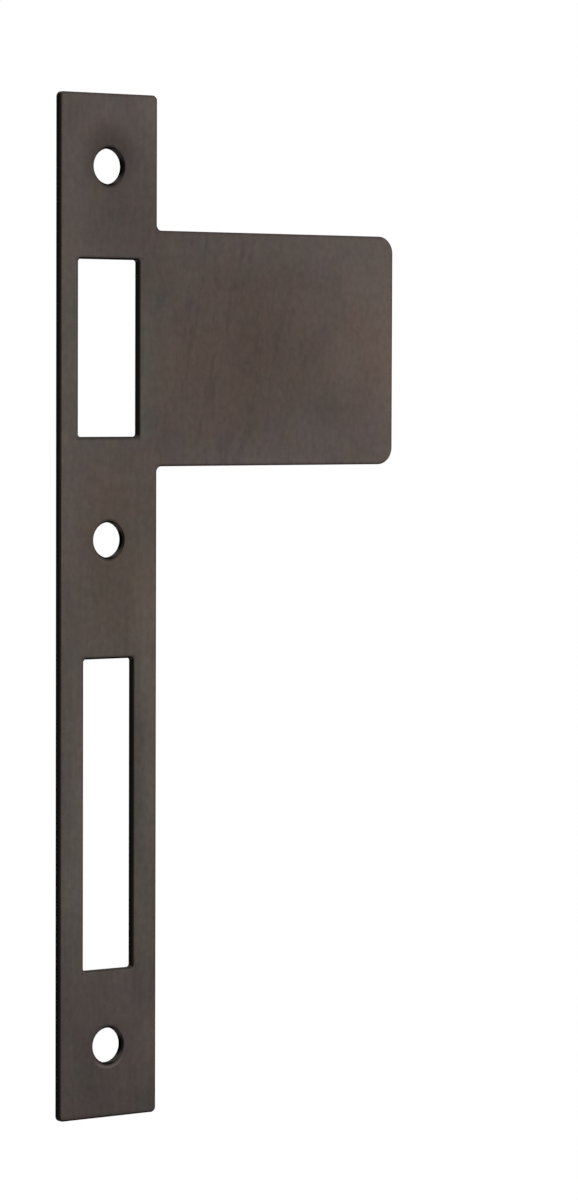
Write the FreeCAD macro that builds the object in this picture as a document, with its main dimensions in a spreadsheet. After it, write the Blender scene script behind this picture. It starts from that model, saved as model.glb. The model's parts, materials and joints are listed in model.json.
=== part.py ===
import FreeCAD, Part
import os
import Sketcher

# A flat strike plate: a tall narrow plate with a wide lip standing out to one side,
# all cut from one sheet. +X points from the plate to the lip, +Z up along the plate,
# and the show face looks along -Y. The back face, which lies on the door frame, is y = 0.
# The origin is on the plate's mid-line, halfway between the two end screw holes.

doc = FreeCAD.newDocument("strike_plate")

# Every size that can change by itself, in millimetres (angles in degrees).
sizes = doc.addObject("Spreadsheet::Sheet", "sizes")
sizeRows = [
    ("sheet_thickness", "1.2"),
    ("plate_height", "174.0"),
    ("plate_width", "20.0"),
    ("plate_corner_radius", "0.9"),
    ("lip_reach", "51.0"),
    ("lip_height", "40.2"),
    ("lip_centre_below_top", "43.0"),
    ("lip_corner_radius", "3.0"),
    ("lip_root_radius", "1.0"),
    ("latch_width", "12.4"),
    ("latch_height", "30.0"),
    ("latch_centre_below_top", "43.0"),
    ("bolt_width", "10.1"),
    ("bolt_height", "53.0"),
    ("bolt_centre_above_foot", "51.8"),
    ("opening_corner_radius", "0.5"),
    ("end_screw_inset", "12.3"),
    ("middle_screw_height", "11.5"),
    ("screw_hole_diameter", "6.0"),
    ("screw_mouth_diameter", "6.6"),
    ("screw_mouth_angle", "90.0"),
    ("front_edge_radius", "0.35"),
]
for rowNumber, (alias, text) in enumerate(sizeRows, start=1):
    sizes.set("A%d" % rowNumber, alias)
    sizes.set("B%d" % rowNumber, text)
    sizes.setAlias("B%d" % rowNumber, alias)
doc.recompute()


def size(alias):
    # the value of one named size
    return float(sizes.get(alias))


body = doc.addObject("PartDesign::Body", "strike_plate")
body.Label = "strike_plate"


def planeOf(owner, role):
    # one of the body's own origin planes
    for feature in owner.Origin.OriginFeatures:
        if feature.Role == role:
            return feature
    raise ValueError("no plane " + role)


def backSketch(name):
    # a sketch on the back face: its own x is +X and its own y is +Z
    sketch = body.newObject("Sketcher::SketchObject", name)
    sketch.AttachmentSupport = (planeOf(body, "XZ_Plane"), [""])
    sketch.MapMode = "FlatFace"
    return sketch


def addRectangle(sketch, left, right, bottom, top):
    # four sides, closed and square; gives the numbers of the bottom, right, top and left side
    corners = [(left, bottom), (right, bottom), (right, top), (left, top)]
    sides = []
    for start in range(4):
        first = FreeCAD.Vector(corners[start][0], corners[start][1], 0)
        second = FreeCAD.Vector(corners[(start + 1) % 4][0], corners[(start + 1) % 4][1], 0)
        sides.append(sketch.addGeometry(Part.LineSegment(first, second), False))
    for place in range(4):
        sketch.addConstraint(Sketcher.Constraint("Coincident", sides[place], 2, sides[(place + 1) % 4], 1))
    for place, kind in ((0, "Horizontal"), (1, "Vertical"), (2, "Horizontal"), (3, "Vertical")):
        sketch.addConstraint(Sketcher.Constraint(kind, sides[place]))
    return sides


def bindDistance(sketch, kind, first, firstEnd, second, secondEnd, expression):
    # one driving distance between two points, held to a formula of named sizes
    value = abs(evaluate(expression))
    number = sketch.addConstraint(Sketcher.Constraint(kind, first, firstEnd, second, secondEnd, value))
    sketch.setExpression("Constraints[%d]" % number, expression)


def evaluate(expression):
    # the number a formula of named sizes comes to
    return float(sizes.evalExpression(expression.replace("sizes.", "")))


# The plate, centred on the origin.
plateSketch = backSketch("plate_outline")
halfWidth = size("plate_width") / 2
halfHeight = size("plate_height") / 2
plateSides = addRectangle(plateSketch, -halfWidth, halfWidth, -halfHeight, halfHeight)
bindDistance(plateSketch, "DistanceX", -1, 1, plateSides[1], 1, "sizes.plate_width / 2")
bindDistance(plateSketch, "DistanceX", plateSides[0], 1, plateSides[0], 2, "sizes.plate_width")
bindDistance(plateSketch, "DistanceY", -1, 1, plateSides[2], 2, "sizes.plate_height / 2")
bindDistance(plateSketch, "DistanceY", plateSides[1], 1, plateSides[1], 2, "sizes.plate_height")
plate = body.newObject("PartDesign::Pad", "plate")
plate.Profile = plateSketch
plate.setExpression("Length", "sizes.sheet_thickness")
doc.recompute()

# The lip, which runs from the plate's mid-line out past its right-hand edge.
lipSketch = backSketch("lip_outline")
lipRight = halfWidth + size("lip_reach")
lipTopFormula = "sizes.plate_height / 2 - sizes.lip_centre_below_top + sizes.lip_height / 2"
lipTop = evaluate(lipTopFormula)
lipBottom = lipTop - size("lip_height")
lipSides = addRectangle(lipSketch, 0, lipRight, lipBottom, lipTop)
lipSketch.addConstraint(Sketcher.Constraint("PointOnObject", lipSides[3], 2, -2))
bindDistance(lipSketch, "DistanceX", -1, 1, lipSides[1], 1, "sizes.plate_width / 2 + sizes.lip_reach")
bindDistance(lipSketch, "DistanceY", -1, 1, lipSides[2], 2, lipTopFormula)
bindDistance(lipSketch, "DistanceY", lipSides[1], 1, lipSides[1], 2, "sizes.lip_height")
lip = body.newObject("PartDesign::Pad", "lip")
lip.Profile = lipSketch
lip.setExpression("Length", "sizes.sheet_thickness")
doc.recompute()


def cutOpening(name, widthSize, heightSize, centreFormula):
    # a square opening through the sheet, centred across the plate; the formula is its centre's height
    width = size(widthSize)
    height = size(heightSize)
    middle = evaluate(centreFormula)
    sketch = backSketch(name + "_outline")
    sides = addRectangle(sketch, -width / 2, width / 2, middle - height / 2, middle + height / 2)
    bindDistance(sketch, "DistanceX", -1, 1, sides[1], 1, "sizes.%s / 2" % widthSize)
    bindDistance(sketch, "DistanceX", sides[0], 1, sides[0], 2, "sizes.%s" % widthSize)
    bindDistance(sketch, "DistanceY", sides[1], 1, sides[1], 2, "sizes.%s" % heightSize)
    if middle > 0:
        bindDistance(sketch, "DistanceY", -1, 1, sides[2], 2, "%s + sizes.%s / 2" % (centreFormula, heightSize))
    else:
        bindDistance(sketch, "DistanceY", sides[0], 1, -1, 1, "sizes.%s / 2 - (%s)" % (heightSize, centreFormula))
    opening = body.newObject("PartDesign::Pocket", name)
    opening.Profile = sketch
    opening.Type = "ThroughAll"
    opening.Reversed = True
    before = body.Shape.Volume
    doc.recompute()
    expected = width * height * size("sheet_thickness")
    if abs(before - body.Shape.Volume - expected) > 0.001:
        raise ValueError(name + " doesn't cut its full size")


latchCentre = "sizes.plate_height / 2 - sizes.latch_centre_below_top"
boltCentre = "sizes.bolt_centre_above_foot - sizes.plate_height / 2"
cutOpening("latch_opening", "latch_width", "latch_height", latchCentre)
cutOpening("bolt_opening", "bolt_width", "bolt_height", boltCentre)


def uprightEdges(shape, places):
    # the names of the straight edges through the sheet that stand at the given (x, z) places
    names = []
    for x, z in places:
        found = []
        for number, edge in enumerate(shape.Edges, start=1):
            ends = [vertex.Point for vertex in edge.Vertexes]
            if len(ends) != 2:
                continue
            if all(abs(end.x - x) < 0.001 and abs(end.z - z) < 0.001 for end in ends):
                found.append("Edge%d" % number)
        if len(found) != 1:
            raise ValueError("no single corner edge at %.2f, %.2f" % (x, z))
        names.extend(found)
    return names


def roundCorners(name, places, radiusSize):
    # corners of the outline or of an opening, rounded all the way through the sheet
    base = body.Tip
    fillet = body.newObject("PartDesign::Fillet", name)
    fillet.Base = (base, uprightEdges(base.Shape, places))
    fillet.setExpression("Radius", "sizes." + radiusSize)
    doc.recompute()


def rectangleCorners(halfAcross, bottom, top):
    # the four corners of an opening that is centred across the plate
    return [(-halfAcross, bottom), (halfAcross, bottom), (halfAcross, top), (-halfAcross, top)]


roundCorners("plate_corners", rectangleCorners(halfWidth, -halfHeight, halfHeight), "plate_corner_radius")
roundCorners("lip_corners", [(lipRight, lipBottom), (lipRight, lipTop)], "lip_corner_radius")
roundCorners("lip_roots", [(halfWidth, lipBottom), (halfWidth, lipTop)], "lip_root_radius")
latchMiddle = evaluate(latchCentre)
latchHalf = size("latch_height") / 2
boltMiddle = evaluate(boltCentre)
boltHalf = size("bolt_height") / 2
latchCorners = rectangleCorners(size("latch_width") / 2, latchMiddle - latchHalf, latchMiddle + latchHalf)
boltCorners = rectangleCorners(size("bolt_width") / 2, boltMiddle - boltHalf, boltMiddle + boltHalf)
roundCorners("opening_corners", latchCorners + boltCorners, "opening_corner_radius")

# The front rims of the outline and of both openings are eased all round; the back stays square.
easedBase = body.Tip
frontNames = []
for number, edge in enumerate(easedBase.Shape.Edges, start=1):
    if all(abs(vertex.Point.y + size("sheet_thickness")) < 0.001 for vertex in edge.Vertexes):
        frontNames.append("Edge%d" % number)
easedFront = body.newObject("PartDesign::Fillet", "eased_front")
easedFront.Base = (easedBase, frontNames)
easedFront.setExpression("Radius", "sizes.front_edge_radius")
doc.recompute()

# Three screw holes on the mid-line, drilled from the front and opened a little at the mouth.
screwSketch = body.newObject("Sketcher::SketchObject", "screw_centres")
screwSketch.AttachmentSupport = (planeOf(body, "XZ_Plane"), [""])
screwSketch.MapMode = "FlatFace"
screwSketch.setExpression("AttachmentOffset.Base.z", "sizes.sheet_thickness")
endScrewHeight = "sizes.plate_height / 2 - sizes.end_screw_inset"
screwPlaces = [(endScrewHeight, True), ("sizes.middle_screw_height", True), (endScrewHeight, False)]
for formula, above in screwPlaces:
    height = evaluate(formula) if above else -evaluate(formula)
    circle = Part.Circle(FreeCAD.Vector(0, height, 0), FreeCAD.Vector(0, 0, 1), size("screw_hole_diameter") / 2)
    mark = screwSketch.addGeometry(circle, False)
    screwSketch.addConstraint(Sketcher.Constraint("PointOnObject", mark, 3, -2))
    if above:
        bindDistance(screwSketch, "DistanceY", -1, 1, mark, 3, formula)
    else:
        bindDistance(screwSketch, "DistanceY", mark, 3, -1, 1, formula)
    ring = screwSketch.addConstraint(Sketcher.Constraint("Diameter", mark, size("screw_hole_diameter")))
    screwSketch.setExpression("Constraints[%d]" % ring, "sizes.screw_hole_diameter")
doc.recompute()

screwHoles = body.newObject("PartDesign::Hole", "screw_holes")
screwHoles.Profile = screwSketch
doc.recompute()
screwHoles.ThreadType = "None"
screwHoles.DepthType = "ThroughAll"
screwHoles.setExpression("Diameter", "sizes.screw_hole_diameter")
screwHoles.HoleCutType = "Countersink"
screwHoles.HoleCutCustomValues = True
screwHoles.setExpression("HoleCutDiameter", "sizes.screw_mouth_diameter")
screwHoles.setExpression("HoleCutCountersinkAngle", "sizes.screw_mouth_angle")
doc.recompute()

for item in doc.Objects:
    if "Invalid" in item.State or "Error" in item.State:
        raise ValueError(item.Name + " has an error")
    if hasattr(item, "Shape") and (item.Shape.isNull() or not item.Shape.isValid()):
        raise ValueError(item.Name + " has no valid shape")
if len(body.Shape.Solids) != 1:
    raise ValueError("the strike plate isn't one solid")
box = body.Shape.optimalBoundingBox(False)
print("box", box.XMin, box.XMax, box.YMin, box.YMax, box.ZMin, box.ZMax, "volume", body.Shape.Volume)

os.makedirs("parts", exist_ok=True)
body.Shape.exportStep("parts/strike_plate.step")
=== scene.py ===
import json
import math
import bpy
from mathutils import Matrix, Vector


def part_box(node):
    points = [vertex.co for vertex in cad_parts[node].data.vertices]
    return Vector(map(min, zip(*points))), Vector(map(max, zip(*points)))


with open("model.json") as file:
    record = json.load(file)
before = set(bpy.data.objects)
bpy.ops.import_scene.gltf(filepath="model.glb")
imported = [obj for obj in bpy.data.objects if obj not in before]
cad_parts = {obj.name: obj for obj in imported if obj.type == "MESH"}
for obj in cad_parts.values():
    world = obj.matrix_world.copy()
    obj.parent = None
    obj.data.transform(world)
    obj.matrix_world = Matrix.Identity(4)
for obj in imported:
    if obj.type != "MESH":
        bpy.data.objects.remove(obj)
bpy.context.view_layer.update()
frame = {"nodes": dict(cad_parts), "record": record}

strikePlate = frame["nodes"]["strike_plate"]
plateLow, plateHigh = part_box("strike_plate")
mounts = {mount["name"]: mount for mount in frame["record"]["mounts"]}
print("strike plate loaded")


# node helpers
def emptyTree(owner):  # the nodes of a material or of the world, cleared
    owner.use_nodes = True
    owner.node_tree.nodes.clear()
    return owner.node_tree


def addNode(tree, kind, **settings):
    node = tree.nodes.new(kind)
    for setting, value in settings.items():
        setattr(node, setting, value)
    return node


def plug(tree, source, target):  # joins two sockets, or writes a plain value
    if isinstance(source, bpy.types.NodeSocket):
        tree.links.new(source, target)
    else:
        target.default_value = source


def feed(tree, node, **values):  # plugs each value into the input of that name, and gives the outputs
    for label, value in values.items():
        plug(tree, value, node.inputs[label])
    return node.outputs


def calc(tree, operation, *values, clamp=False):
    node = addNode(tree, "ShaderNodeMath", operation=operation, use_clamp=clamp)
    for index, value in enumerate(values):
        plug(tree, value, node.inputs[index])
    return node.outputs[0]


def opposite(tree, value):  # one less the value
    return calc(tree, "SUBTRACT", 1.0, value, clamp=True)


def around(tree, middle, source, swing):  # swings with the source, half below and half above
    return calc(tree, "MULTIPLY_ADD", source, swing, middle - swing / 2)


def lighten(tree, light, source, gain):  # lighter by the gain as far as the source says
    return calc(tree, "MULTIPLY", light, calc(tree, "MULTIPLY_ADD", source, gain, 1.0))


def distance(tree, across, upward):
    squares = [calc(tree, "MULTIPLY", side, side) for side in (across, upward)]
    return calc(tree, "SQRT", calc(tree, "ADD", *squares))


def ramp(tree, value, fromLow, fromHigh, toLow=0.0, toHigh=1.0, smooth=True):
    node = addNode(tree, "ShaderNodeMapRange", clamp=True)
    node.interpolation_type = "SMOOTHSTEP" if smooth else "LINEAR"
    for index, item in enumerate((value, fromLow, fromHigh, toLow, toHigh)):
        plug(tree, item, node.inputs[index])
    return node.outputs[0]


def axesOf(tree, vector):
    return feed(tree, addNode(tree, "ShaderNodeSeparateXYZ"), Vector=vector)


def stretch(tree, vector, x, y, z):
    sizes = feed(tree, addNode(tree, "ShaderNodeCombineXYZ"), X=x, Y=y, Z=z)
    drawn = addNode(tree, "ShaderNodeVectorMath", operation="MULTIPLY")
    plug(tree, vector, drawn.inputs[0])
    plug(tree, sizes[0], drawn.inputs[1])
    return drawn.outputs[0]


def blendColours(tree, factor, first, second, mode="MIX"):
    node = addNode(tree, "ShaderNodeMix", data_type="RGBA", blend_type=mode)
    for index, item in ((0, factor), (6, first), (7, second)):  # the factor, and A and B as colours
        plug(tree, item, node.inputs[index])
    return node.outputs[2]


def tinted(tree, factor, colour, tint):
    return blendColours(tree, factor, colour, blendColours(tree, 1.0, colour, tint, "MULTIPLY"))


def greyOf(tree, level):
    return feed(tree, addNode(tree, "ShaderNodeCombineColor"), Red=level, Green=level, Blue=level)[0]


def newGroup(name, inputs, outputs):  # an input is a number, or a vector where it says None
    group = bpy.data.node_groups.new(name, "ShaderNodeTree")
    for label, value in inputs.items():
        kind = "NodeSocketVector" if value is None else "NodeSocketFloat"
        socket = group.interface.new_socket(label, in_out="INPUT", socket_type=kind)
        if value is not None:
            socket.default_value = value
    for label in outputs:
        group.interface.new_socket(label, in_out="OUTPUT", socket_type="NodeSocketFloat")
    given = group.nodes.new("NodeGroupInput").outputs
    result = group.nodes.new("NodeGroupOutput").inputs
    return group, given, result


def useGroup(tree, group, **values):
    return feed(tree, addNode(tree, "ShaderNodeGroup", node_tree=group), **values)


# brush lines: noise drawn out along the stroke
brushNoise = {"roughness": 0.62, "darkest": 0.28, "lightest": 0.72}


def makeBrushGrain():
    group, given, result = newGroup(
        "brushGrain",
        {"Coordinates": None, "Lean": None, "Across": 2500.0, "Along": 150.0, "Detail": 3.0},
        ["Strokes"])
    turned = feed(group, addNode(group, "ShaderNodeVectorRotate", rotation_type="EULER_XYZ"),
                  Vector=given["Coordinates"], Rotation=given["Lean"])
    drawn = stretch(group, turned[0], given["Across"], given["Across"], given["Along"])
    noise = feed(group, addNode(group, "ShaderNodeTexNoise"), Vector=drawn, Scale=1.0,
                 Detail=given["Detail"], Roughness=brushNoise["roughness"])
    strokes = ramp(group, noise[0], brushNoise["darkest"], brushNoise["lightest"], smooth=False)
    plug(group, strokes, result["Strokes"])
    return group


# soft clouds of tone in the bronze finish
cloudNoise = {"detail": 2.0, "roughness": 0.5, "darkest": 0.3, "lightest": 0.7}


def makePatina():
    group, given, result = newGroup(
        "patinaClouds", {"Coordinates": None, "Scale": 200.0, "Stretch": 0.6, "Place": 0.0}, ["Clouds"])
    drawn = stretch(group, given["Coordinates"], 1.0, 1.0, given["Stretch"])
    noise = feed(group, addNode(group, "ShaderNodeTexNoise", noise_dimensions="4D"), Vector=drawn,
                 W=given["Place"], Scale=given["Scale"], Detail=cloudNoise["detail"],
                 Roughness=cloudNoise["roughness"])
    clouds = ramp(group, noise[0], cloudNoise["darkest"], cloudNoise["lightest"])
    plug(group, clouds, result["Clouds"])
    return group


# the eased rims, the cut walls and the back, told apart by the way they face
edgeTurns = {
    "backTurn": 0.5,
    "leastLean": 0.05,
    # for each side: the axis it faces along, where it starts and where it is full
    "sides": {
        "Up": ("Z", 0.50, 0.95),
        "Down": ("Z", -0.30, -0.95),
        "Left": ("X", -0.55, -0.98),
        "Right": ("X", 0.55, 0.98),
    },
    # facing squarely up or down, and squarely left
    "squareUpright": (0.86, 1.0),
    "squareLeft": (-0.80, -1.0),
}


def makeCutEdge():
    group, given, result = newGroup(
        "cutEdge",
        {"Facing": None, "RimStart": 0.9990, "RimFull": 0.95, "WallStart": 0.80, "WallFull": 0.30},
        ["Rim", "Wall", "Back", "Up", "Down", "Left", "Right", "Square"])
    axes = axesOf(group, given["Facing"])
    front = calc(group, "ABSOLUTE", axes["Y"])
    lean = calc(group, "SQRT", opposite(group, calc(group, "MULTIPLY", front, front)))
    lean = calc(group, "MAXIMUM", lean, edgeTurns["leastLean"])
    turns = {axis: calc(group, "DIVIDE", axes[axis], lean) for axis in ("X", "Z")}
    plug(group, ramp(group, front, given["RimStart"], given["RimFull"]), result["Rim"])
    plug(group, ramp(group, front, given["WallStart"], given["WallFull"]), result["Wall"])
    plug(group, calc(group, "GREATER_THAN", axes["Y"], edgeTurns["backTurn"]), result["Back"])
    for side, (axis, start, full) in edgeTurns["sides"].items():
        plug(group, ramp(group, turns[axis], start, full), result[side])
    upright = ramp(group, calc(group, "ABSOLUTE", turns["Z"]), *edgeTurns["squareUpright"])
    leftward = ramp(group, turns["X"], *edgeTurns["squareLeft"])
    plug(group, calc(group, "MAXIMUM", upright, leftward), result["Square"])
    return group


# a screw hole's dark mouth, a dark ring at its top and foot, a glint under it, and the shade round it
holeRing = {
    "edge": 0.0034,
    "mouthEnd": 0.0036,
    "ringEnd": 0.0038,
    "sharpness": 4.0,
    "atSides": 0.1,
    "glintStart": 0.0033,
    "glintPeak": 0.0036,
    "glintEnd": 0.0042,
    "glintTurn": (-0.55, -1.0),
    "leastReach": 0.0001,
}


def makeHoleShade():
    group, given, result = newGroup(
        "holeShade",
        {"Coordinates": None, "Height": 0.0, "Rise": 0.0, "Inner": 0.0034, "Outer": 0.008},
        ["Shade", "Mouth", "Ring", "Glint"])
    axes = axesOf(group, given["Coordinates"])
    upward = calc(group, "SUBTRACT", axes["Z"], given["Height"])
    toHole = distance(group, axes["X"], upward)
    toShade = distance(group, axes["X"], calc(group, "SUBTRACT", upward, given["Rise"]))
    plug(group, ramp(group, toShade, given["Outer"], given["Inner"]), result["Shade"])
    plug(group, ramp(group, toHole, holeRing["mouthEnd"], holeRing["edge"]), result["Mouth"])
    turn = calc(group, "DIVIDE", upward, calc(group, "MAXIMUM", toHole, holeRing["leastReach"]))
    glint = calc(group, "MULTIPLY", ramp(group, toHole, holeRing["glintStart"], holeRing["glintPeak"]),
                 ramp(group, toHole, holeRing["glintEnd"], holeRing["glintPeak"]))
    glint = calc(group, "MULTIPLY", glint, ramp(group, turn, *holeRing["glintTurn"]))
    plug(group, glint, result["Glint"])
    steep = calc(group, "POWER", calc(group, "ABSOLUTE", turn), holeRing["sharpness"])
    share = calc(group, "MULTIPLY_ADD", steep, 1.0 - holeRing["atSides"], holeRing["atSides"])
    ring = ramp(group, toHole, holeRing["ringEnd"], holeRing["edge"])
    plug(group, calc(group, "MULTIPLY", ring, share), result["Ring"])
    return group


# a soft-edged patch where the finish is made lighter or darker
def makeTonePatch():
    group, given, result = newGroup(
        "tonePatch",
        {"Coordinates": None, "PlaceX": 0.0, "PlaceZ": 0.0, "ReachX": 0.01, "ReachZ": 0.01, "Waver": 0.0},
        ["Patch"])
    axes = axesOf(group, given["Coordinates"])
    away = []
    for axis in ("X", "Z"):
        offset = calc(group, "SUBTRACT", axes[axis], given["Place" + axis])
        away.append(calc(group, "DIVIDE", offset, given["Reach" + axis]))
    outward = calc(group, "ADD", distance(group, *away), given["Waver"])
    plug(group, ramp(group, outward, 1.0, 0.0), result["Patch"])
    return group


# how far inside a panel a spot lies, a thin line above and below it, and the rail at its sides
panelEdges = {
    "lineEnd": 0.0007,
    "lineFull": 0.0003,
    "lineStart": -0.0001,
    "lineSides": (-0.0008, 0.0002),
    "railSides": (-0.0060, -0.0035),
    "railEnds": (-0.0020, 0.0010),
}


def makePanelEdge():
    group, given, result = newGroup(
        "panelEdge", {"Coordinates": None, "PlaceX": 0.0, "PlaceZ": 0.0, "HalfX": 0.01, "HalfZ": 0.01},
        ["Inside", "Above", "Below", "Beside"])
    axes = axesOf(group, given["Coordinates"])
    across = calc(group, "SUBTRACT", axes["X"], given["PlaceX"])
    upward = calc(group, "SUBTRACT", axes["Z"], given["PlaceZ"])
    insideX = calc(group, "SUBTRACT", given["HalfX"], calc(group, "ABSOLUTE", across))
    insideZ = calc(group, "SUBTRACT", given["HalfZ"], calc(group, "ABSOLUTE", upward))
    plug(group, calc(group, "MINIMUM", insideX, insideZ), result["Inside"])
    rail = ramp(group, insideX, *panelEdges["railSides"])
    rail = calc(group, "MULTIPLY", rail, ramp(group, insideZ, *panelEdges["railEnds"]))
    plug(group, rail, result["Beside"])
    betweenSides = ramp(group, insideX, *panelEdges["lineSides"])
    for output, rising in (("Above", upward), ("Below", calc(group, "MULTIPLY", upward, -1.0))):
        away = calc(group, "SUBTRACT", rising, given["HalfZ"])
        line = ramp(group, away, panelEdges["lineEnd"], panelEdges["lineFull"])
        line = calc(group, "MULTIPLY", line, calc(group, "GREATER_THAN", away, panelEdges["lineStart"]))
        plug(group, calc(group, "MULTIPLY", line, betweenSides), result[output])
    return group


# one along the plate or the lip, from a start to full strength
def makeReach():
    group, given, result = newGroup(
        "reachAlong", {"Along": 0.0, "Start": 0.0, "End": 0.01, "Waver": 0.0}, ["Reach"])
    moved = calc(group, "ADD", given["Along"], given["Waver"])
    plug(group, ramp(group, moved, given["Start"], given["End"]), result["Reach"])
    return group


brushGrain = makeBrushGrain()
patinaClouds = makePatina()
cutEdge = makeCutEdge()
holeShade = makeHoleShade()
tonePatch = makeTonePatch()
panelEdge = makePanelEdge()
reachAlong = makeReach()
print("finish groups ready")


# heights of the top and middle screw holes; the bottom one is as far down as the top one is up
endHole = mounts["end_screw_holes"]["dims"]["spacing_y_mm"] / 2000
middleHole = mounts["middle_screw_hole"]["pos_m"][2]
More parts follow.
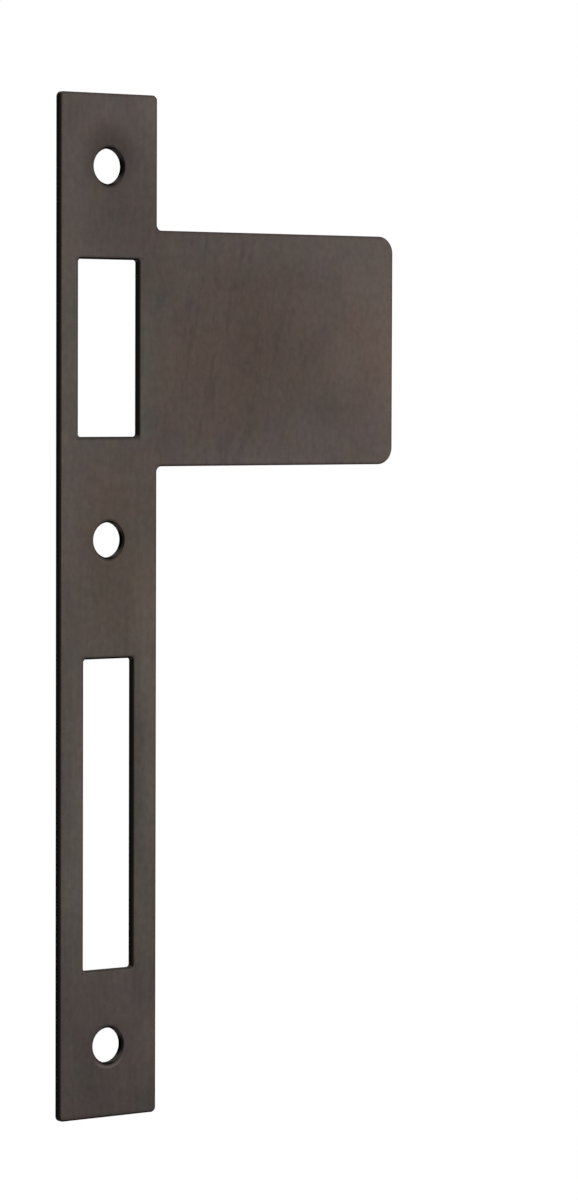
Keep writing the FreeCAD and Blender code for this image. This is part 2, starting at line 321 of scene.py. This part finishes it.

# dark bronze finish, brushed upright, with painted shade on the cut edges, nearly black where they face
# left, and painted light where they face up
plateFinish = {
    # tones of the face, and faint tints over them
    "coolTone": (0.0785, 0.0663, 0.0618, 1.0),
    "warmTone": (0.0878, 0.0652, 0.0550, 1.0),
    "violetTint": (1.030, 0.985, 1.020, 1.0),
    "greenTint": (0.975, 1.015, 0.985, 1.0),
    "railTint": (0.970, 1.040, 1.005, 1.0),
    "oliveTint": (0.990, 1.012, 0.965, 1.0),
    # tones of the cut walls, painted by the way they face: painted shade, nearly black, where they face
    # left and in the holes' mouths, painted light where they face up; and the tone of the back
    "leftWallShade": (0.0080, 0.0070, 0.0060, 1.0),
    "holeWallShade": (0.0012, 0.0011, 0.0010, 1.0),
    "sideTone": (0.0480, 0.0410, 0.0370, 1.0),
    "upWallLight": (0.0560, 0.0480, 0.0435, 1.0),
    "downTone": (0.0480, 0.0415, 0.0380, 1.0),
    "backTone": (0.0560, 0.0500, 0.0460, 1.0),
    # brush lines: upright ones, and on the lip broader smudges that lean
    "brushing": {
        "upright": {"Across": 900.0, "Along": 80.0, "Detail": 3.0},
        "fine": {"Across": 3000.0, "Along": 420.0, "Detail": 2.0},
        "smudges": {"Across": 600.0, "Along": 110.0, "Detail": 2.0, "Lean": (0.0, -0.17, 0.0)},
    },
    # mottling, from the finest grain to broad clouds
    "clouds": {
        "grain": {"Scale": 2300.0, "Stretch": 0.8, "Place": 5.0},
        "mottle": {"Scale": 950.0, "Stretch": 0.7, "Place": 17.0},
        "warm": {"Scale": 300.0, "Stretch": 0.8, "Place": 11.0},
        "drift": {"Scale": 140.0, "Stretch": 0.8, "Place": 29.0},
        "hue": {"Scale": 240.0, "Stretch": 0.8, "Place": 41.0},
        "broad": {"Scale": 60.0, "Stretch": 0.7, "Place": 23.0},
    },
    # how much lighter and darker each makes the finish
    "swings": {"fine": 0.05, "grain": 0.06, "mottle": 0.12, "drift": 0.07, "broad": 0.08},
    "strokeDepth": 0.155,
    "lipStrokeDepth": 0.06,
    "smudgeStart": 0.52,
    "smudgeDepth": 0.12,
    # zones: the axis each runs along, where it starts, where it is full, and lighter by
    "zones": {
        "onLip": ("X", 0.004, 0.018, -0.03),
        # lighter, and free of smudges, towards the lip's right end: partly painted sheen
        "lighterToLipEnd": ("X", 0.020, 0.066, 0.18),
        "foot": ("Z", -0.052, -0.088, -0.19),
    },
    "zoneWaver": 0.012,
    # how far the tone leans from cool to warm, what sways it, and how much of the tints shows
    "warmth": 0.30,
    "warmCloud": 0.34,
    "warmDrift": 0.24,
    "smudgeCool": 0.35,
    "hueCloud": 0.75,
    # screw holes: height, the shade's rise, where it is full, where it ends, its strength, and the glint
    "screws": {
        "top": (endHole, 0.0019, 0.0022, 0.0073, 1.15, 0.0),
        "middle": (middleHole, 0.0, 0.0034, 0.0056, 0.15, 0.15),
        "foot": (-endHole, 0.0, 0.0034, 0.0056, 0.20, 0.95),
    },
    "shadeDepth": 0.28,
    "ringShade": 0.42,
    # patches: x, z, reach along x, reach along z, lighter by, warmer by
    "patches": {
        "lipMiddle": (0.0340, 0.0470, 0.0300, 0.0240, -0.16, 0.56),
        # lipEnd: lighter and warmer at the lip's end, partly painted sheen
        "lipEnd": (0.0640, 0.0450, 0.0260, 0.0200, 0.12, 0.62),
        "lipUpper": (0.0350, 0.0560, 0.0270, 0.0055, -0.08, 0.0),
        "lipLower": (0.0480, 0.0340, 0.0130, 0.0075, -0.09, 0.0),
        "lipFoot": (0.0290, 0.0240, 0.0220, 0.0055, 0.12, 0.0),
        "lipRoot": (0.0190, 0.0430, 0.0150, 0.0210, -0.02, 0.46),
        "belowLatch": (0.0110, 0.0300, 0.0050, 0.0080, -0.12, 0.0),
        "besideLatch": (0.0090, 0.0590, 0.0080, 0.0170, -0.17, 0.0),
        "aboveLatch": (0.0012, 0.0670, 0.0092, 0.0130, -0.22, 0.0),
        "besideTopHole": (0.0065, 0.0770, 0.0060, 0.0080, -0.09, 0.0),
        "topCorner": (-0.0080, 0.0850, 0.0070, 0.0080, -0.10, 0.0),
        "topRight": (0.0085, 0.0845, 0.0055, 0.0070, 0.13, 0.0),
        "plateMiddle": (0.0020, 0.0090, 0.0120, 0.0290, -0.06, 0.55),
        "middleLeft": (-0.0090, 0.0170, 0.0055, 0.0170, 0.11, 0.0),
        "middleRight": (0.0075, 0.0030, 0.0065, 0.0130, 0.09, 0.0),
        "rightRail": (0.0090, -0.0180, 0.0060, 0.0400, 0.20, 0.08),
        "leftRail": (-0.0055, -0.0380, 0.0050, 0.0340, 0.18, 0.0),
        "besideBolt": (0.0062, -0.0270, 0.0028, 0.0270, -0.21, -0.10),
        "belowBolt": (0.0058, -0.0630, 0.0028, 0.0120, -0.15, -0.06),
        "footMiddle": (0.0000, -0.0780, 0.0080, 0.0140, -0.05, 0.0),
        "footRight": (0.0088, -0.0760, 0.0046, 0.0130, 0.13, 0.0),
        # footEdge: painted shade along the plate's bottom edge
        "footEdge": (-0.0030, -0.0867, 0.0170, 0.0008, -0.22, 0.0),
        "footLeft": (-0.0085, -0.0770, 0.0045, 0.0070, 0.09, 0.0),
    },
    "patchWaver": 0.30,
    # x, z, reach along x, reach along z: where the tone is more olive, and what holds the inner rims
    "oliveField": (0.0, 0.0040, 0.0250, 0.0300),
    "innerField": (0.0, 0.0, 0.0095, 0.0850),
    # the plate and its lip: x, z, half width, half height
    "outline": {
        "plate": (0.0, 0.0, -plateLow.x, plateHigh.z),
        "lip": (plateHigh.x / 2, 0.0440, plateHigh.x / 2, 0.0201),
    },
    # the openings: x, z, half width, half height, darker by above (painted shade), darker by below (below
    # zero, a painted light line)
    "openings": {
        "latch": (0.0, 0.0440, 0.0062, 0.0150, 0.22, 0.24),
        "bolt": (0.0, -0.0352, 0.00505, 0.0265, 0.34, -0.15),
    },
    "lineShade": 0.14,
    # how much darker the eased rims are, by the way they face, and the holes' mouths
    "rimShade": 0.16,
    "innerRimShade": 0.20,
    "underRimShade": 0.54,
    "leftRimShade": 0.60,
    "rightRimShade": 0.14,
    "mouthShade": 0.42,
    "mouthSideShade": 0.42,
    # gloss, and the relief of the brushing
    "roughness": 0.42,
    "roughnessRange": 0.10,
    "broadRoughness": 0.06,
    "wallRoughness": 0.15,
    "bumpStrength": 0.25,
    "bumpHeight": 0.00003,
    "specularTint": (0.5, 0.5, 0.5, 1.0),
}


def placePatch(tree, spot, x, z, reachX, reachZ, waver=0.0):
    return useGroup(tree, tonePatch, Coordinates=spot, PlaceX=x, PlaceZ=z,
                    ReachX=reachX, ReachZ=reachZ, Waver=waver)[0]


def placePanel(tree, spot, x, z, halfX, halfZ):
    return useGroup(tree, panelEdge, Coordinates=spot, PlaceX=x, PlaceZ=z, HalfX=halfX, HalfZ=halfZ)


# what the finish is mixed from: brush lines, clouds, zones, and patches as (patch, lighter, warmer)
def gatherParts(tree, spot, finish):
    part = {}
    for name, look in finish["brushing"].items():
        part[name] = useGroup(tree, brushGrain, Coordinates=spot, **look)[0]
    for name, look in finish["clouds"].items():
        part[name] = useGroup(tree, patinaClouds, Coordinates=spot, **look)[0]
    axes = axesOf(tree, spot)
    zoneWaver = around(tree, 0.0, part["broad"], finish["zoneWaver"])
    for name, (axis, start, end, _) in finish["zones"].items():
        part[name] = useGroup(tree, reachAlong, Along=axes[axis], Start=start, End=end, Waver=zoneWaver)[0]
    part["offLip"] = opposite(tree, part["onLip"])
    smudged = ramp(tree, part["smudges"], finish["smudgeStart"], 1.0)
    smudged = calc(tree, "MULTIPLY", smudged, part["onLip"])
    part["smudged"] = calc(tree, "MULTIPLY", smudged, opposite(tree, part["lighterToLipEnd"]))
    patchWaver = around(tree, 0.0, part["broad"], finish["patchWaver"])
    part["patches"] = [(placePatch(tree, spot, *place, patchWaver), lighter, warmer)
                       for *place, lighter, warmer in finish["patches"].values()]
    part["olive"] = placePatch(tree, spot, *finish["oliveField"], patchWaver)
    part["inner"] = calc(tree, "GREATER_THAN", placePatch(tree, spot, *finish["innerField"]), 0.0)
    return part


# how light each spot is, around one, and where the screw holes' mouths are
def mixLight(tree, spot, finish, part):
    depth = ramp(tree, part["onLip"], 0.0, 1.0, finish["strokeDepth"], finish["lipStrokeDepth"],
                 smooth=False)
    strokes = calc(tree, "SUBTRACT", part["upright"], 0.5)
    light = calc(tree, "MULTIPLY_ADD", strokes, depth, 1.0)
    for name, swing in finish["swings"].items():
        light = calc(tree, "MULTIPLY", light, around(tree, 1.0, part[name], swing))
    light = lighten(tree, light, part["smudged"], -finish["smudgeDepth"])
    for name, (_, _, _, lighter) in finish["zones"].items():
        light = lighten(tree, light, part[name], lighter)
    mouth = 0.0
    for height, rise, inner, outer, strength, glint in finish["screws"].values():
        shade = useGroup(tree, holeShade, Coordinates=spot, Height=height, Rise=rise,
                         Inner=inner, Outer=outer)
        light = lighten(tree, light, shade["Shade"], -finish["shadeDepth"] * strength)
        light = lighten(tree, light, shade["Ring"], -finish["ringShade"])
        light = lighten(tree, light, shade["Glint"], glint)
        mouth = calc(tree, "MAXIMUM", shade["Mouth"], mouth)
    for patch, lighter, _ in part["patches"]:
        light = lighten(tree, light, patch, lighter)
    return light, mouth


# a thin darker line along the outline and the openings, stronger above and below an opening: painted shade
# above it, and below it a darker line or a painted light line
def drawLines(tree, spot, finish, light):
    margin = -1.0  # well outside, until the first panel
    for place in finish["outline"].values():
        margin = calc(tree, "MAXIMUM", placePanel(tree, spot, *place)["Inside"], margin)
    sill = beside = 0.0
    for *place, above, below in finish["openings"].values():
        panel = placePanel(tree, spot, *place)
        margin = calc(tree, "MINIMUM", calc(tree, "MULTIPLY", panel["Inside"], -1.0), margin)
        beside = calc(tree, "MAXIMUM", panel["Beside"], beside)
        sill = calc(tree, "MULTIPLY_ADD", panel["Above"], above, sill)
        sill = calc(tree, "MULTIPLY_ADD", panel["Below"], below, sill)
    line = ramp(tree, margin, panelEdges["lineEnd"], panelEdges["lineFull"])
    light = lighten(tree, light, line, -finish["lineShade"])
    return lighten(tree, light, sill, -1.0), beside


# cool and warm bronze, with a faint violet, green or olive cast in places
def mixTone(tree, finish, part, beside):
    warmth = around(tree, finish["warmth"] - finish["warmDrift"] / 2, part["warm"], finish["warmCloud"])
    warmth = calc(tree, "MULTIPLY_ADD", part["drift"], finish["warmDrift"], warmth)
    warmth = calc(tree, "MULTIPLY_ADD", part["smudged"], -finish["smudgeCool"], warmth)
    for patch, _, warmer in part["patches"]:
        if warmer:
            warmth = calc(tree, "MULTIPLY_ADD", patch, warmer, warmth)
    warmth = calc(tree, "ADD", warmth, 0.0, clamp=True)
    tone = blendColours(tree, warmth, finish["coolTone"], finish["warmTone"])
    tint = blendColours(tree, part["hue"], finish["violetTint"], finish["greenTint"])
    tone = tinted(tree, finish["hueCloud"], tone, tint)
    tone = tinted(tree, calc(tree, "MULTIPLY", beside, part["offLip"]), tone, finish["railTint"])
    return tinted(tree, part["olive"], tone, finish["oliveTint"])


# what the eased rims keep of their light: least where they face down or left and round the holes
def shadeRims(tree, finish, part, edge, mouth):
    inner = calc(tree, "MULTIPLY", part["inner"], opposite(tree, edge["Left"]))
    under = calc(tree, "MULTIPLY", edge["Down"], part["offLip"])
    shade = finish["rimShade"]
    for where, depth in ((inner, "innerRimShade"), (under, "underRimShade"),
                         (edge["Left"], "leftRimShade"), (edge["Right"], "rightRimShade")):
        shade = calc(tree, "MULTIPLY_ADD", where, finish[depth], shade)
    mouthDepth = calc(tree, "MULTIPLY_ADD", edge["Square"], finish["mouthShade"], finish["mouthSideShade"])
    shade = calc(tree, "MULTIPLY", shade, opposite(tree, mouth))
    shade = calc(tree, "MULTIPLY_ADD", mouth, mouthDepth, shade)
    return opposite(tree, calc(tree, "MULTIPLY", shade, edge["Rim"]))


# cut walls: painted shade, nearly black where they face left and darker still in the holes' mouths, and
# painted light where they face up
def paintWallShadeAndLight(tree, finish, edge, mouth):
    leftWall = blendColours(tree, mouth, finish["leftWallShade"], finish["holeWallShade"])
    wall = blendColours(tree, edge["Left"], finish["sideTone"], leftWall)
    wall = blendColours(tree, edge["Up"], wall, finish["upWallLight"])
    return blendColours(tree, edge["Down"], wall, finish["downTone"])


def makeBronze(finish):
    bronze = bpy.data.materials.new("brushedDarkBronze")
    tree = emptyTree(bronze)
    place = addNode(tree, "ShaderNodeTexCoord")
    spot = place.outputs["Object"]
    edge = useGroup(tree, cutEdge, Facing=place.outputs["Normal"])
    part = gatherParts(tree, spot, finish)
    light, mouth = mixLight(tree, spot, finish, part)
    light, beside = drawLines(tree, spot, finish, light)

    level = greyOf(tree, light)
    face = blendColours(tree, 1.0, mixTone(tree, finish, part, beside), level, "MULTIPLY")
    back = blendColours(tree, 1.0, finish["backTone"], level, "MULTIPLY")
    colour = blendColours(tree, edge["Back"], face, back)
    kept = greyOf(tree, shadeRims(tree, finish, part, edge, mouth))
    colour = blendColours(tree, 1.0, colour, kept, "MULTIPLY")
    colour = blendColours(tree, edge["Wall"], colour, paintWallShadeAndLight(tree, finish, edge, mouth))

    lines = calc(tree, "MULTIPLY", calc(tree, "ADD", part["upright"], part["fine"]), 0.5)
    rough = around(tree, finish["roughness"], lines, finish["roughnessRange"])
    rough = calc(tree, "MULTIPLY_ADD", part["broad"], finish["broadRoughness"], rough)
    rough = calc(tree, "MULTIPLY_ADD", edge["Wall"], finish["wallRoughness"], rough)
    bump = feed(tree, addNode(tree, "ShaderNodeBump"), Strength=finish["bumpStrength"],
                Distance=finish["bumpHeight"], Height=lines)

    metal = addNode(tree, "ShaderNodeBsdfPrincipled")
    for label, value in (("Base Color", colour), ("Metallic", 1.0), ("Roughness", rough),
                         ("Normal", bump[0]), ("Specular Tint", finish["specularTint"])):
        plug(tree, value, metal.inputs[label])
    feed(tree, addNode(tree, "ShaderNodeOutputMaterial"), Surface=metal.outputs[0])
    return bronze


bronzeFinish = makeBronze(plateFinish)
for slot in strikePlate.material_slots:
    slot.material = bronzeFinish
print("dark bronze finish on the strike plate")


def seenPlainly(tree):  # one for what the camera sees, straight on, in gloss or through glass
    path = addNode(tree, "ShaderNodeLightPath").outputs
    seen = calc(tree, "MAXIMUM", path["Is Camera Ray"], path["Is Glossy Ray"])
    return calc(tree, "MAXIMUM", seen, path["Is Transmission Ray"])


# pale floor, well below a part that hangs free, and plain white farther out
studioFloor = {
    "height": -0.90,
    "radius": 12.0,
    "sides": 96,
    "near": 0.8,
    "far": 2.6,
    "whiteNear": 0.35,
    "tone": (0.86, 0.86, 0.85, 1.0),
}


def makeFloor(studio):
    bpy.ops.object.select_all(action="DESELECT")
    bpy.ops.mesh.primitive_circle_add(vertices=studio["sides"], radius=studio["radius"],
                                      fill_type="NGON", location=(0.0, 0.0, studio["height"]))
    floor = bpy.context.object
    floor.name = "studioFloor"
    bpy.ops.object.transform_apply(location=True, rotation=True, scale=True)
    pale = bpy.data.materials.new("paleFloor")
    tree = emptyTree(pale)
    axes = axesOf(tree, addNode(tree, "ShaderNodeTexCoord").outputs["Object"])
    outward = distance(tree, axes["X"], axes["Y"])
    fade = ramp(tree, outward, studio["near"], studio["far"], studio["whiteNear"], 1.0)
    matt = feed(tree, addNode(tree, "ShaderNodeBsdfDiffuse"), Color=studio["tone"])
    white = addNode(tree, "ShaderNodeEmission")
    mixed = addNode(tree, "ShaderNodeMixShader")
    share = calc(tree, "MULTIPLY", seenPlainly(tree), fade)
    for index, value in enumerate((share, matt[0], white.outputs[0])):
        plug(tree, value, mixed.inputs[index])
    feed(tree, addNode(tree, "ShaderNodeOutputMaterial"), Surface=mixed.outputs[0])
    floor.data.materials.append(pale)


makeFloor(studioFloor)
print("floor laid")


# soft lamps, each aimed at the plate
studioLamps = {
    "rightSoftbox": {"place": (1.60, -1.90, 0.70), "size": 1.3, "power": 6.0},
    "leftSoftbox": {"place": (-1.40, -1.90, 0.60), "size": 1.3, "power": 4.0},
    "topSoftbox": {"place": (0.10, -0.35, 1.90), "size": 1.4, "power": 6.0},
    "backSoftbox": {"place": (-0.30, 2.00, 0.90), "size": 1.3, "power": 5.0},
}


def hangLamps(lamps):
    for name, lamp in lamps.items():
        glow = bpy.data.lights.new(name, "AREA")
        glow.shape = "SQUARE"
        glow.size = lamp["size"]
        glow.energy = lamp["power"]
        fitting = bpy.data.objects.new(name, glow)
        bpy.context.scene.collection.objects.link(fitting)
        fitting.location = lamp["place"]
        fitting.rotation_euler = (-fitting.location).to_track_quat("-Z", "Y").to_euler()
        fitting.visible_camera = False


# even light from all round, and plain white where it is seen
studioWorld = {"ambient": 0.55, "tone": (1.0, 1.0, 1.0, 1.0)}


def paintWorld(studio):
    world = bpy.data.worlds.new("studioWorld")
    bpy.context.scene.world = world
    tree = emptyTree(world)
    strength = ramp(tree, seenPlainly(tree), 0.0, 1.0, studio["ambient"], 1.0, smooth=False)
    sky = feed(tree, addNode(tree, "ShaderNodeBackground"), Color=studio["tone"], Strength=strength)
    feed(tree, addNode(tree, "ShaderNodeOutputWorld"), Surface=sky[0])


hangLamps(studioLamps)
paintWorld(studioWorld)
bpy.context.scene.view_settings.view_transform = "Standard"
print("lamps and world set")


# the camera stands left of the plate's front and a little above its middle
photoCamera = {
    "place": (-0.44679, -0.64917, 0.03795),
    "turn": (87.3403, -0.1899, -36.8064),
    "lens": 139.157,
}


def setCamera(view):
    body = bpy.data.cameras.new("photoCamera")
    body.lens = view["lens"]
    camera = bpy.data.objects.new("photoCamera", body)
    bpy.context.scene.collection.objects.link(camera)
    camera.location = view["place"]
    camera.rotation_euler = [math.radians(angle) for angle in view["turn"]]
    bpy.context.scene.camera = camera


setCamera(photoCamera)
print("camera set")
